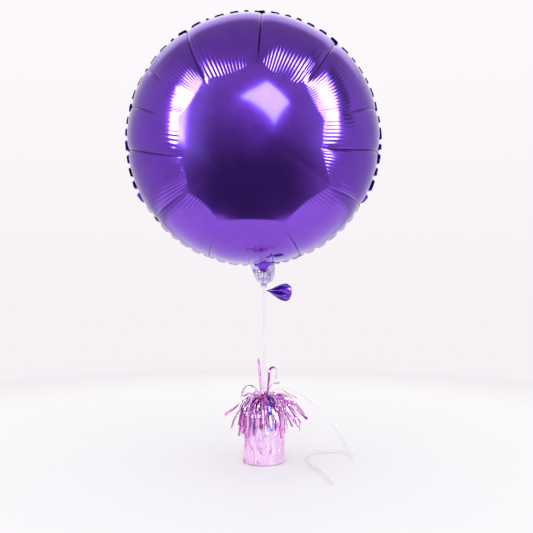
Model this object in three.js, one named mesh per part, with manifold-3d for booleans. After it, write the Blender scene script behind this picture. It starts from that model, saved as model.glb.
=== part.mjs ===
// A round foil balloon tied by a ribbon to a foil-wrapped weight with a tinsel top.
// Millimetres, +Z up. The origin is the middle of the weight's flat base. The balloon faces -Y.
import * as THREE from 'three';
import { mergeVertices } from 'three/addons/utils/BufferGeometryUtils.js';
import Module from 'manifold-3d';

const wasm = await Module();
wasm.setup();

// Balloon
const balloonRadius = 172.8; // inflated, where the two discs meet
const seamWidth = 4.5; // flat sealed edge outside that
const filmWall = 0.08;
const layerGap = 0.3; // between two sheets that touch
const balloonLean = 4; // degrees that the balloon leans to its left on the knot
const neckWidth = 34; // filling neck where it leaves the seam
const neckLength = 30; // from the seam down to the upper knot
const neckBulge = 6; // how far each film of the neck stands out at the top
const gatherNeckRadius = 3; // neck where it is tied
const valveWidth = 24; // clear sealing films inside the neck
const valveReach = 48; // how far they go past the seam into the balloon
const tailLength = 38; // neck's loose end, past the tie
const tailWidth = 25;
const tailDrop = 10; // degrees below level

// Ribbon
const ribbonWidth = 5;
const turnThickness = 1; // turns of ribbon round the neck
const upperKnotRadius = 2.2;
const lowerKnotRadius = 1.9;
const weightKnotRadius = 2.4;
const tetherLength = 131; // taut ribbon between the knots

// Weight
const baseRadius = 29; // foil wrap at the floor
const shoulderRadius = 27.5; // and at its top edge
const shoulderHeight = 70;
const foilWall = 0.25; // crumpled double foil
const gatherRadius = 5.4; // wrap where it is drawn together
const gatherHeight = 80; // middle of the tie round it
const tieWidth = 5;
const tieThickness = 1.1;
const cupWall = 1.4;
const cupHeight = 62;
const cupTaper = 1.2; // how much narrower the cup is at its foot
const wrapClearance = 0.6; // between the cup and the foil round it
const fillDepth = 30;
const lidThickness = 1.6;
const lidRim = 5; // how far the lid's plug reaches into the cup

// Tinsel
const stripWidth = 3.2;
const stripWall = 0.2;
const stripRootRadius = 5.6;
const tierRise = 1.4; // each tier of strips starts this much above the last
const fanAzimuth = -18; // strips on this side are splayed, so they stand out further
const fanLaunch = 9;
const fanFinish = 34;
const knotRise = 6.5; // weight knot above the top tier's roots

const colours = {
  purpleFoil: { color: 0x5f2ca8, roughness: 0.16, metalness: 0.9 },
  clearFilm: { color: 0xdcdde6, roughness: 0.2, metalness: 0 },
  whiteRibbon: { color: 0xf2eff5, roughness: 0.35, metalness: 0 },
  pinkFoil: { color: 0xe7a4e4, roughness: 0.2, metalness: 0.85 },
  pinkTinsel: { color: 0xdd85d6, roughness: 0.18, metalness: 0.9 },
  cup: { color: 0xe9e6e0, roughness: 0.5, metalness: 0 },
  plaster: { color: 0xd9d4ca, roughness: 0.9, metalness: 0 },
  card: { color: 0xb99b74, roughness: 0.9, metalness: 0 },
};

const model = new THREE.Group();

function addPiece(name, geometry, colour, parent = model) {
  const piece = new THREE.Mesh(geometry, new THREE.MeshStandardMaterial(colours[colour]));
  piece.name = name;
  parent.add(piece);
  return piece;
}

// A sheet of even thickness bent onto surface(u, v), both from 0 to 1.
function bentSheet(surface, uSteps, vSteps, wall) {
  const sheet = new THREE.BoxGeometry(1, 1, 1, uSteps, vSteps, 1);
  const places = sheet.attributes.position;
  const nudge = 1e-4;
  for (let i = 0; i < places.count; i += 1) {
    const u = places.getX(i) + 0.5;
    const v = places.getY(i) + 0.5;
    const side = places.getZ(i);
    const point = surface(u, v);
    const alongU = surface(u + nudge, v).sub(surface(u - nudge, v));
    const alongV = surface(u, v + nudge).sub(surface(u, v - nudge));
    point.addScaledVector(alongU.cross(alongV).normalize(), side * wall);
    places.setXYZ(i, point.x, point.y, point.z);
  }
  return sheet;
}

// A turned piece about Z, from [radius, height] corners.
function turned(corners, segments) {
  const profile = corners.map(([radius, height]) => new THREE.Vector2(radius, height));
  return new THREE.LatheGeometry(profile, segments).rotateX(Math.PI / 2);
}

function toSolid(geometry) {
  const bare = geometry.clone();
  bare.deleteAttribute('normal');
  bare.deleteAttribute('uv');
  const merged = mergeVertices(bare, 1e-4);
  const corners = Float32Array.from(merged.attributes.position.array);
  const index = merged.index.array;
  const faces = [];
  for (let i = 0; i < index.length; i += 3) {
    const [a, b, c] = [index[i], index[i + 1], index[i + 2]];
    if (a !== b && b !== c && c !== a) {
      faces.push(a, b, c);
    }
  }
  const mesh = new wasm.Mesh({ numProp: 3, vertProperties: corners, triVerts: Uint32Array.from(faces) });
  return new wasm.Manifold(mesh);
}

function toGeometry(solid) {
  const mesh = solid.getMesh();
  const geometry = new THREE.BufferGeometry();
  geometry.setAttribute('position', new THREE.BufferAttribute(mesh.vertProperties, 3));
  geometry.setIndex(new THREE.BufferAttribute(mesh.triVerts, 1));
  geometry.computeVertexNormals();
  return geometry;
}

// Half the depth of an inflated pair of discs, where the film slopes by angle: half the radius times
// the integral of the square root of the sine, from angle to a right angle.
function inflatedDepth(angle) {
  const steps = 200;
  const step = (Math.PI / 2 - angle) / steps;
  let sum = 0;
  for (let i = 0; i < steps; i += 1) {
    sum += Math.sqrt(Math.sin(angle + (i + 0.5) * step));
  }
  return 0.5 * balloonRadius * sum * step;
}

// One disc of the balloon with its flat seam, bulging towards +Y, its edge plane at y = 0.
function filmPanelGeometry() {
  const profileSteps = 9;
  const roundSteps = 64;
  const seamFace = layerGap / 2;
  const outside = [];
  const inside = [];
  for (let i = 0; i <= profileSteps; i += 1) {
    const slope = (Math.PI / 2) * (i / profileSteps) ** 2;
    const radius = balloonRadius * Math.sqrt(Math.sin(slope));
    const depth = seamFace + filmWall + inflatedDepth(slope);
    outside.push([radius, depth]);
    inside.push([Math.max(radius - filmWall * Math.sin(slope), 0), depth - filmWall * Math.cos(slope)]);
  }
  inside[profileSteps][1] = seamFace;
  const edge = balloonRadius + seamWidth;
  const corners = [...inside, [edge, seamFace], [edge, seamFace + filmWall], ...outside.reverse()];
  const profile = corners.map(([radius, depth]) => new THREE.Vector2(radius, depth));
  const panel = new THREE.LatheGeometry(profile, roundSteps);
  // The seam is left open where the neck's films and the valve pass through it.
  const slotHeight = seamWidth + 6;
  const slotDepth = 6;
  const slot = new THREE.BoxGeometry(valveWidth + 4, slotDepth, slotHeight);
  slot.translate(0, 0, -edge - 1 + slotHeight / 2);
  return toGeometry(toSolid(panel).subtract(toSolid(slot)));
}

const ease = (t) => t * t * (3 - 2 * t);
const radians = THREE.MathUtils.degToRad;

// Everything on the balloon is placed from the upper knot, which it tilts on. Up to the neck's seam:
const turnsFoot = upperKnotRadius + 0.8;
const turnsTop = turnsFoot + ribbonWidth;
const seamFoot = neckLength; // outer edge of the seam above the knot
const panelCentre = seamFoot + seamWidth + balloonRadius;
const neckTop = seamFoot - layerGap;
const neckFoot = turnsFoot + 1;

function neckHalfWidth(height) {
  const down = THREE.MathUtils.clamp((neckTop - height) / (neckTop - turnsTop), 0, 1);
  return THREE.MathUtils.lerp(neckWidth / 2, gatherNeckRadius, ease(down));
}

function neckGeometry(side) {
  const surface = (u, v) => {
    const height = THREE.MathUtils.lerp(neckTop, neckFoot, v);
    const down = THREE.MathUtils.clamp((neckTop - height) / (neckTop - turnsTop), 0, 1);
    const bulge = THREE.MathUtils.lerp(neckBulge, gatherNeckRadius - layerGap / 2 - filmWall, down);
    const angle = (u - 0.5) * Math.PI;
    const depth = layerGap / 2 + filmWall + bulge * Math.cos(angle);
    return new THREE.Vector3(neckHalfWidth(height) * Math.sin(angle), side * depth, height);
  };
  return bentSheet(surface, 10, 9, filmWall);
}

function valveGeometry(side) {
  const foot = turnsTop + 1;
  const top = seamFoot + seamWidth + valveReach;
  const edgeRoom = 1.2;
  const surface = (u, v) => {
    const height = THREE.MathUtils.lerp(top, foot, v);
    const halfWidth = Math.min(valveWidth / 2, neckHalfWidth(height) - edgeRoom);
    const depth = side * (layerGap / 2 + filmWall / 2);
    return new THREE.Vector3((2 * u - 1) * halfWidth, depth, height);
  };
  return bentSheet(surface, 1, 14, filmWall);
}

// The loose end fans out from the tie, each film folded into shallow pleats.
function tailGeometry(side) {
  const pleats = 3;
  const pleatDepth = 1.6;
  const rootHalf = 1;
  const surface = (u, v) => {
    const across = 2 * v - 1;
    const flare = Math.sin((Math.PI / 2) * Math.min(u / 0.7, 1));
    const roundEnd = Math.sqrt(Math.max(1 - Math.max(u - 0.72, 0) ** 2 / 0.28 ** 2 * 0.62, 0));
    const half = rootHalf + (tailWidth / 2 - rootHalf) * flare * roundEnd;
    const pleat = pleatDepth * flare * (0.5 + 0.5 * Math.cos(across * pleats * Math.PI));
    const depth = layerGap / 2 + filmWall + 0.2 + pleat;
    return new THREE.Vector3(tailLength * u, side * depth, half * across);
  };
  return bentSheet(surface, 10, 12, filmWall);
}

function addBalloon() {
  const balloon = new THREE.Group();
  balloon.position.z = upperKnotHeight;
  balloon.rotation.y = -radians(balloonLean);
  model.add(balloon);

  const backPanel = addPiece('back_film_panel', filmPanelGeometry(), 'purpleFoil', balloon);
  backPanel.position.z = panelCentre;
  const frontPanel = addPiece('front_film_panel', filmPanelGeometry(), 'purpleFoil', balloon);
  frontPanel.position.z = panelCentre;
  // Half a turn about the neck's axis makes the back panel the front one.
  frontPanel.rotation.z = Math.PI;

  addPiece('front_neck_film', neckGeometry(-1), 'purpleFoil', balloon);
  addPiece('back_neck_film', neckGeometry(1), 'purpleFoil', balloon);
  addPiece('front_valve_film', valveGeometry(-1), 'clearFilm', balloon);
  addPiece('back_valve_film', valveGeometry(1), 'clearFilm', balloon);

  const inner = gatherNeckRadius + filmWall + layerGap;
  const outer = inner + turnThickness;
  const ring = [[inner, turnsFoot], [outer, turnsFoot], [outer, turnsTop], [inner, turnsTop], [inner, turnsFoot]];
  addPiece('neck_ribbon_turns', turned(ring, 24), 'whiteRibbon', balloon);
}

function addTail() {
  const tail = new THREE.Group();
  tail.position.set(upperKnotRadius + 0.6, 0, upperKnotHeight + 1.2);
  tail.rotation.y = radians(tailDrop);
  model.add(tail);
  addPiece('front_tail_film', tailGeometry(-1), 'purpleFoil', tail);
  addPiece('back_tail_film', tailGeometry(1), 'purpleFoil', tail);
}

// Weight, from the floor up
const wrapTop = gatherHeight + tieWidth / 2 + 1.5;
const stripRootHeight = wrapTop + 1;
const tiers = [
  { count: 10, launch: -14, finish: -90, length: 65, turn: 10 },
  { count: 9, launch: -2, finish: -88, length: 64, turn: 30 },
  { count: 8, launch: 12, finish: -82, length: 62, turn: 4 },
  { count: 4, launch: 34, finish: -58, length: 50, turn: 26 },
];
const tierBend = [0.08, 0.62]; // shares of a strip's length between which it bends over
const standingStrips = [
  { azimuth: 222, launch: 86, finish: 80, length: 52, bend: [0, 1] },
  { azimuth: 38, launch: 86, finish: -95, length: 62, bend: [0.45, 0.92] },
  { azimuth: 304, launch: 58, finish: 6, length: 44, bend: [0.1, 0.8] },
  { azimuth: 172, launch: 62, finish: -88, length: 46, bend: [0.15, 0.85] },
];
const topRootHeight = stripRootHeight + tierRise * (tiers.length - 1);
const weightKnotHeight = topRootHeight + knotRise;
const tetherFoot = weightKnotHeight + weightKnotRadius + layerGap;
const tetherTop = tetherFoot + tetherLength;
const lowerKnotHeight = tetherTop + layerGap + lowerKnotRadius;
const upperKnotHeight = lowerKnotHeight + lowerKnotRadius + layerGap + upperKnotRadius;

function addCore() {
  const floorFace = foilWall + wrapClearance;
  const cupTopRadius = shoulderRadius - foilWall - wrapClearance;
  const cupFootRadius = Math.min(baseRadius - foilWall - wrapClearance, cupTopRadius) - cupTaper;
  const cupTop = floorFace + cupHeight;
  const wallRadius = (height) => THREE.MathUtils.mapLinear(height, floorFace, cupTop, cupFootRadius, cupTopRadius);
  const cup = [
    [0, floorFace],
    [cupFootRadius, floorFace],
    [cupTopRadius, cupTop],
    [cupTopRadius - cupWall, cupTop],
    [wallRadius(floorFace + cupWall) - cupWall, floorFace + cupWall],
    [0, floorFace + cupWall],
  ];
  addPiece('weight_cup', turned(cup, 32), 'cup');

  const fillFoot = floorFace + cupWall + layerGap;
  const fillTop = fillFoot + fillDepth;
  const fill = [
    [0, fillFoot],
    [wallRadius(fillFoot) - cupWall - layerGap, fillFoot],
    [wallRadius(fillTop) - cupWall - layerGap, fillTop],
    [0, fillTop],
  ];
  addPiece('plaster_fill', turned(fill, 32), 'plaster');

  const lidFoot = cupTop + layerGap;
  const plugRadius = wallRadius(cupTop - lidRim) - cupWall - layerGap;
  const lid = [
    [0, cupTop - lidRim],
    [plugRadius, cupTop - lidRim],
    [plugRadius, lidFoot],
    [cupTopRadius, lidFoot],
    [cupTopRadius, lidFoot + lidThickness],
    [0, lidFoot + lidThickness],
  ];
  addPiece('card_lid', turned(lid, 32), 'card');
}

// The foil stands as a can round the cup and is drawn in to a narrow open gather.
function addWrap() {
  const wall = foilWall;
  const outside = [
    [0, 0],
    [baseRadius, 0],
    [shoulderRadius + 0.4, shoulderHeight - 3],
    [shoulderRadius - 2.4, shoulderHeight],
    [gatherRadius + 5, gatherHeight - tieWidth / 2 - 3],
    [gatherRadius, gatherHeight - tieWidth / 2 - 0.6],
    [gatherRadius, wrapTop],
  ];
  const inside = [
    [gatherRadius - wall, wrapTop],
    [gatherRadius - wall, gatherHeight - tieWidth / 2 - 0.6],
    [gatherRadius + 5 - wall, gatherHeight - tieWidth / 2 - 3 - wall],
    [shoulderRadius - 2.4 - wall, shoulderHeight - wall],
    [shoulderRadius + 0.4 - wall, shoulderHeight - 3 - wall],
    [baseRadius - wall, wall],
    [0, wall],
  ];
  addPiece('foil_wrap', turned([...outside, ...inside], 40), 'pinkFoil');

  const inner = gatherRadius + layerGap;
  const outer = inner + tieThickness;
  const foot = gatherHeight - tieWidth / 2;
  const ring = [[inner, foot], [outer, foot], [outer, foot + tieWidth], [inner, foot + tieWidth], [inner, foot]];
  addPiece('gather_tie', turned(ring, 28), 'pinkFoil');
}

// A strip leaves the gather at the launch angle and bends over to the finish angle.
function stripGeometry({ azimuth, launch, finish, length, bend, rootHeight, rootRadius }) {
  const steps = 9;
  const fineSteps = 90;
  const outward = new THREE.Vector3(Math.cos(radians(azimuth)), Math.sin(radians(azimuth)), 0);
  const sideways = new THREE.Vector3(-outward.y, outward.x, 0);
  const line = [outward.clone().multiplyScalar(rootRadius).setZ(rootHeight)];
  for (let i = 0; i < fineSteps; i += 1) {
    const bent = THREE.MathUtils.smoothstep((i + 0.5) / fineSteps, bend[0], bend[1]);
    const angle = radians(THREE.MathUtils.lerp(launch, finish, bent));
    const step = length / fineSteps;
    const next = line[i].clone().addScaledVector(outward, step * Math.cos(angle));
    next.z += step * Math.sin(angle);
    line.push(next);
  }
  const curve = new THREE.CatmullRomCurve3(line);
  const surface = (u, v) => {
    const along = THREE.MathUtils.clamp(u, 0, 1);
    const past = u - along;
    const point = curve.getPoint(along).addScaledVector(curve.getTangent(along), past * length);
    return point.addScaledVector(sideways, (v - 0.5) * stripWidth);
  };
  return bentSheet(surface, steps, 1, stripWall);
}

function addTinsel() {
  let number = 0;
  const addStrip = (strip) => {
    number += 1;
    addPiece(`tinsel_strip_${String(number).padStart(2, '0')}`, stripGeometry(strip), 'pinkTinsel');
  };
  tiers.forEach((tier, level) => {
    for (let i = 0; i < tier.count; i += 1) {
      const azimuth = tier.turn + (360 / tier.count) * i;
      const rootHeight = stripRootHeight + tierRise * level;
      const length = tier.length + 3 * Math.sin(2.4 * i + level);
      const fan = Math.max(0, Math.cos(radians(azimuth - fanAzimuth)));
      const launch = tier.launch + fanLaunch * fan;
      const finish = tier.finish + fanFinish * fan;
      addStrip({ azimuth, launch, finish, length, bend: tierBend, rootHeight, rootRadius: stripRootRadius });
    }
  });
  for (const strip of standingStrips) {
    addStrip({ ...strip, rootHeight: topRootHeight + tierRise, rootRadius: stripRootRadius });
  }
}

function ballGeometry(radius) {
  return new THREE.SphereGeometry(radius, 14, 10).rotateX(Math.PI / 2);
}

function cordGeometry(points, steps) {
  const section = new THREE.Shape();
  const sides = 8;
  const corner = ribbonWidth / 2 / Math.cos(Math.PI / sides);
  for (let i = 0; i < sides; i += 1) {
    const angle = ((i + 0.5) / sides) * 2 * Math.PI;
    const [x, y] = [corner * Math.cos(angle), corner * Math.sin(angle)];
    if (i === 0) {
      section.moveTo(x, y);
    } else {
      section.lineTo(x, y);
    }
  }
  section.closePath();
  const path = new THREE.CatmullRomCurve3(points.map(([x, y, z]) => new THREE.Vector3(x, y, z)));
  return new THREE.ExtrudeGeometry(section, { steps, extrudePath: path, curveSegments: 1 });
}

// The free end leaves the tinsel to the right, arches down to the floor and curls on it.
const freeEndRoute = [
  [6.4, -1.2, 95.6],
  [12, -2.4, 98.6],
  [20, -4, 101],
  [32, -6, 101.4],
  [46, -8, 96],
  [60, -9, 86],
  [74, -9, 73],
  [88, -8, 58],
  [100, -5, 42],
  [110, -1, 26],
  [118, 5, 12],
  [123, 13, 4.6],
  [124, 24, 2.8],
  [118, 35, 2.8],
  [105, 42, 2.8],
  [89, 42, 2.8],
  [74, 35, 2.8],
  [64, 22, 2.8],
  [59, 5, 2.8],
  [60, -15, 2.8],
  [65, -38, 2.8],
  [72, -62, 2.8],
  [79, -88, 2.8],
  [85, -116, 2.8],
];

function addRibbon() {
  addPiece('weight_knot', ballGeometry(weightKnotRadius), 'whiteRibbon').position.z = weightKnotHeight;
  addPiece('tether_ribbon', cordGeometry([[0, 0, tetherFoot], [0, 0, tetherTop]], 4), 'whiteRibbon');
  addPiece('lower_neck_knot', ballGeometry(lowerKnotRadius), 'whiteRibbon').position.z = lowerKnotHeight;
  addPiece('upper_neck_knot', ballGeometry(upperKnotRadius), 'whiteRibbon').position.z = upperKnotHeight;
  addPiece('ribbon_free_end', cordGeometry(freeEndRoute, 56), 'whiteRibbon');
}

addCore();
addWrap();
addTinsel();
addRibbon();
addBalloon();
addTail();

export default model;
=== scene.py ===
import math

import bpy
import numpy as np
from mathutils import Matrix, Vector


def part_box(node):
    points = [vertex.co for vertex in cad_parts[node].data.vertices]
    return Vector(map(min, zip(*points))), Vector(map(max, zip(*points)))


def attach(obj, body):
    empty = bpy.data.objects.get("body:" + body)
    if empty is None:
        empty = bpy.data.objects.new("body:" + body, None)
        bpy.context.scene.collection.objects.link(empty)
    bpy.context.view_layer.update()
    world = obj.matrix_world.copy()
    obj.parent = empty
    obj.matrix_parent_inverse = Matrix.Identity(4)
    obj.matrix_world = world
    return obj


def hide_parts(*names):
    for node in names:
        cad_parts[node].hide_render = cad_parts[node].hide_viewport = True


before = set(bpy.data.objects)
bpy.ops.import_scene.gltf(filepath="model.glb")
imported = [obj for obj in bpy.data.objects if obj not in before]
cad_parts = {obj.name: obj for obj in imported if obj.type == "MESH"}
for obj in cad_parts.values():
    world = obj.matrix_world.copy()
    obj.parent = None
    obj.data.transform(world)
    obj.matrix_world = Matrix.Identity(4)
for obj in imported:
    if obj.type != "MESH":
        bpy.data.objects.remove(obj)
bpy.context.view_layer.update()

# Foil balloon on a ribbon, held down by a foil-wrapped weight with a tinsel top.
# Shapes are worked out in millimetres and turned to metres as each mesh is made.
mm = 0.001

print("camera")
viewer = {"place": (0.00345, -1.02, 0.268), "lens": 50, "sensor": 36}
cameraData = bpy.data.cameras.new("camera")
cameraData.lens = viewer["lens"]
cameraData.sensor_width = viewer["sensor"]
camera = bpy.data.objects.new("camera", cameraData)
camera.location = viewer["place"]
camera.rotation_euler = (math.radians(90), 0, 0)
bpy.context.scene.collection.objects.link(camera)
bpy.context.scene.camera = camera
bpy.context.scene.view_settings.view_transform = "Standard"


def linear(hexColour, alpha=1.0):
    channels = [int(hexColour[i:i + 2], 16) / 255 for i in (1, 3, 5)]
    return [c / 12.92 if c <= 0.04045 else ((c + 0.055) / 1.055) ** 2.4 for c in channels] + [alpha]


# Adds one node. A value in sockets is a number or a colour, or what is linked: an output of another node, or
# the node itself, which means its first output. stops are a colour ramp's places, from 0 to 1, and colours.
def addNode(tree, kind, sockets=None, stops=(), **settings):
    node = tree.nodes.new("ShaderNode" + kind)
    for name, value in settings.items():
        setattr(node, name, value)
    for name, value in (sockets or {}).items():
        if isinstance(value, bpy.types.Node):
            value = value.outputs[0]
        if isinstance(value, bpy.types.NodeSocket):
            tree.links.new(value, node.inputs[name])
        else:
            node.inputs[name].default_value = value
    if stops:
        elements = node.color_ramp.elements
        while len(elements) < len(stops):
            elements.new(0.5)
        for element, (place, colour) in zip(elements, stops):
            element.position = place
            element.color = linear(colour)
    return node


# An empty material, its node tree and the place on the piece, which every pattern is drawn by.
def newMaterial(name, place="Object"):
    material = bpy.data.materials.new(name)
    material.use_nodes = True
    tree = material.node_tree
    tree.nodes.clear()
    return material, tree, addNode(tree, "TexCoord").outputs[place]


def setSurface(tree, kind, sockets):
    addNode(tree, "OutputMaterial", {"Surface": addNode(tree, kind, sockets)})


# Node scale of a pattern whose cells are that many millimetres wide.
def cells(size):
    return 1 / (size * mm)


# Smooth random heights from -1 to 1 on a unit lattice. It repeats after wrap cells along x.
def valueNoise(x, y, seed, wrap=256):
    table = np.random.RandomState(seed).uniform(-1, 1, (256, 256))
    cellX, cellY = np.floor(x).astype(int), np.floor(y).astype(int)
    alongX, alongY = x - cellX, y - cellY
    alongX = alongX * alongX * (3 - 2 * alongX)
    alongY = alongY * alongY * (3 - 2 * alongY)
    left, right = cellX % wrap, (cellX + 1) % wrap
    low, high = cellY % 256, (cellY + 1) % 256
    bottom = table[left, low] * (1 - alongX) + table[right, low] * alongX
    top = table[left, high] * (1 - alongX) + table[right, high] * alongX
    return bottom * (1 - alongY) + top * alongY


# Sharp folds, as crumpled foil has: 0 in the creases and up to 1 between them.
def foldNoise(x, y, seed, wrap=256):
    return np.abs(valueNoise(x, y, seed, wrap)) + 0.5 * np.abs(valueNoise(2 * x, 2 * y, seed + 1, 2 * wrap))


def smoothStep(low, high, value):
    t = np.clip((value - low) / (high - low), 0, 1)
    return t * t * (3 - 2 * t)


def gridFaces(rows, columns, closed=False, first=0):
    down = first + np.arange(rows - 1)[:, None] * columns
    across = np.arange(columns if closed else columns - 1)[None, :]
    beside = (across + 1) % columns
    corners = [down + across, down + beside, down + columns + beside, down + columns + across]
    return np.stack([c.ravel() for c in np.broadcast_arrays(*corners)], axis=1).tolist()


# Makes the mesh from points in millimetres and lets it ride on its body in place of its CAD nodes.
def makePiece(name, points, faces, materials, body, nodes=(), faceMaterial=None):
    mesh = bpy.data.meshes.new(name)
    mesh.from_pydata((np.asarray(points) * mm).tolist(), [], faces)
    for material in materials:
        mesh.materials.append(material)
    mesh.polygons.foreach_set("use_smooth", [True] * len(mesh.polygons))
    if faceMaterial is not None:
        mesh.polygons.foreach_set("material_index", faceMaterial)
    mesh.update()
    piece = bpy.data.objects.new(name, mesh)
    bpy.context.scene.collection.objects.link(piece)
    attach(piece, body)
    if nodes:
        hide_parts(*nodes)
    return piece


# One number for each point, which a material reads by that name.
def shadePoints(piece, name, values):
    attribute = piece.data.attributes.new(name, "FLOAT", "POINT")
    attribute.data.foreach_set("value", np.asarray(values, np.float32).ravel())


def boxOf(node):
    low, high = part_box(node)
    return np.array(low) / mm, np.array(high) / mm


# A smooth line through the points, with the same number of steps between each two.
def smoothRoute(points, steps):
    p = np.array(points, float)
    p = np.vstack([2 * p[0] - p[1], p, 2 * p[-1] - p[-2]])
    t = np.linspace(0, 1, steps, endpoint=False)[:, None]
    spans = []
    for i in range(1, len(p) - 2):
        a, b, c, d = p[i - 1:i + 3]
        spans.append(0.5 * (2 * b + (c - a) * t + (2 * a - 5 * b + 4 * c - d) * t ** 2
                            + (3 * b - a - 3 * c + d) * t ** 3))
    return np.vstack(spans + [p[-2:-1]])


def flipped(faces):
    return [face[::-1] for face in faces]


def unit(vectors):
    return vectors / np.maximum(np.linalg.norm(vectors, axis=-1, keepdims=True), 1e-9)


# A flat band of that width and thickness along a route, its edges raised by cup. across gives the way its
# width lies at each point.
def bandMesh(route, across, width, thickness, first=0, cup=0.0):
    tangent = unit(np.gradient(route, axis=0))
    across = unit(across - np.sum(across * tangent, axis=1, keepdims=True) * tangent)
    normal = np.cross(tangent, across)
    width = np.broadcast_to(np.asarray(width, float), (len(route),))[:, None]
    places = np.linspace(-1, 1, 5)
    section = [(v, 1) for v in places] + [(v, -1) for v in places[::-1]]
    rows = [route + across * width / 2 * v + normal * (side * thickness / 2 + cup * (v * v - 0.5))
            for v, side in section]
    points = np.stack(rows, axis=1).reshape(-1, 3)
    around = len(section)
    faces = gridFaces(len(route), around, True, first)
    faces.append([first + i for i in range(around)][::-1])
    faces.append([first + (len(route) - 1) * around + i for i in range(around)])
    return points, flipped(faces)


# Materials are named for the stock they are made of.
# Balloon film: nylon metallised with aluminium and printed all over in purple lacquer. The metal under the
# lacquer mirrors the room in purple, and the lacquer adds a faint white gloss. Thin film is never quite
# flat, so its mirror is a little soft and wavers.
metallisedNylon = {
    "lacquer": "#7429CC",
    "lacquerThin": "#7D33D4",
    "lacquerCreaseShade": "#2A0C58",
    "roughness": 0.13,
    "streakWidth": 26,  # mm, uneven print of the lacquer
    "ripple": 7,  # mm, slack between the film's layers
    "rippleHeight": 0.012,
    "grain": 0.9,  # mm, fine orange peel, drawn coarser than the real 0.2 mm so that it shows
    "grainHeight": 0.0008,
}


def makeMetallisedNylon():
    p = metallisedNylon
    material, tree, place = newMaterial("metallisedNylonFilm")
    streaks = addNode(tree, "TexNoise", {"Vector": place, "Scale": cells(p["streakWidth"]), "Detail": 3.0})
    colour = addNode(tree, "ValToRGB", {"Fac": streaks}, [(0.35, p["lacquer"]), (0.68, p["lacquerThin"])])
    # painted shade: in a crease the lacquer is painted a darker purple and its white gloss is taken away, as
    # the two sides mirror each other there
    crease = addNode(tree, "Attribute", attribute_name="creaseShade").outputs["Fac"]
    creaseShaded = addNode(tree, "Mix", {0: crease, 6: colour, 7: linear(p["lacquerCreaseShade"])}, data_type="RGBA")
    gloss = addNode(tree, "Math", {0: 1.0, 1: crease}, operation="SUBTRACT")
    ripple = addNode(tree, "TexNoise", {"Vector": place, "Scale": cells(p["ripple"]), "Detail": 2.0})
    grain = addNode(tree, "TexNoise", {"Vector": place, "Scale": cells(p["grain"]), "Detail": 1.0})
    rough = addNode(tree, "MapRange", {"Value": streaks, "To Min": p["roughness"] - 0.03,
                                       "To Max": p["roughness"] + 0.05})
    bump = addNode(tree, "Bump", {"Height": ripple, "Distance": p["rippleHeight"] * mm})
    bump = addNode(tree, "Bump", {"Height": grain, "Distance": p["grainHeight"] * mm,
                                  "Normal": bump})
    setSurface(tree, "BsdfPrincipled", {
        "Base Color": creaseShaded.outputs[2], "Metallic": 1.0, "Roughness": rough,
        "Coat Weight": gloss, "Coat Roughness": 0.06, "Coat IOR": 1.6, "Normal": bump})
    return material


# The same film where the neck is crushed for tying: the metal cracks along the folds, so pale unmetallised
# film shows between purple streaks that run down to the tie.
crushedNylon = {"metal": "#7238CC", "bare": "#DCD0F0", "streak": 5.0, "stretch": 0.3, "crack": 3.0,
                "crackHeight": 0.3, "roughness": 0.15}


# The mesh's bareness, from 0 to 1, says where the metal has cracked away.
def makeCrushedNylon():
    p = crushedNylon
    material, tree, place = newMaterial("crushedNylonNeck")
    drawn = addNode(tree, "Mapping", {"Vector": place, "Scale": (1, 1, p["stretch"])})
    streaks = addNode(tree, "TexNoise", {"Vector": drawn, "Scale": cells(p["streak"]), "Detail": 3.0})
    bareness = addNode(tree, "Attribute", attribute_name="bareness").outputs["Fac"]
    worn = addNode(tree, "Math", {0: streaks, 1: bareness}, operation="ADD")
    colour = addNode(tree, "ValToRGB", {"Fac": worn}, [(0.62, p["metal"]), (0.86, p["bare"])])
    metal = addNode(tree, "MapRange", {"Value": worn, "From Min": 0.62, "From Max": 0.95, "To Min": 1.0,
                                       "To Max": 0.5})
    cracks = addNode(tree, "TexVoronoi", {"Vector": drawn, "Scale": cells(p["crack"])},
                     feature="DISTANCE_TO_EDGE")
    bump = addNode(tree, "Bump", {"Height": cracks, "Distance": p["crackHeight"] * mm,
                                  "Strength": 0.5})
    setSurface(tree, "BsdfPrincipled", {
        "Base Color": colour, "Metallic": metal, "Roughness": p["roughness"],
        "Coat Weight": 0.5, "Coat Roughness": 0.08, "Normal": bump})
    return material


# Curling ribbon: extruded polypropylene, slit and ribbed along its length. It is milky clear, so it nearly
# vanishes against a pale wall and shows only where its ribs catch a light.
slitPolypropylene = {"colour": "#FAF7FC", "hazeColour": "#EFEAF3", "roughness": 0.25, "cover": 0.34,
                     "haze": 3.0, "rib": 0.7, "ribHeight": 0.03}


def makeSlitPolypropylene():
    p = slitPolypropylene
    material, tree, place = newMaterial("slitPolypropyleneRibbon")
    haze = addNode(tree, "TexNoise", {"Vector": place, "Scale": cells(p["haze"]), "Detail": 2.0})
    colour = addNode(tree, "ValToRGB", {"Fac": haze}, [(0.3, p["hazeColour"]), (0.7, p["colour"])])
    # a wave's bands are 0.31 of its cell apart
    ribs = addNode(tree, "TexWave", {"Vector": place, "Scale": 0.31 * cells(p["rib"]), "Distortion": 0.4},
                   bands_direction="X")
    bump = addNode(tree, "Bump", {"Height": ribs.outputs["Fac"], "Distance": p["ribHeight"] * mm,
                                  "Strength": 0.5})
    setSurface(tree, "BsdfPrincipled", {
        "Base Color": colour, "Roughness": p["roughness"], "IOR": 1.49, "Alpha": p["cover"],
        "Normal": bump})
    return material


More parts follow.
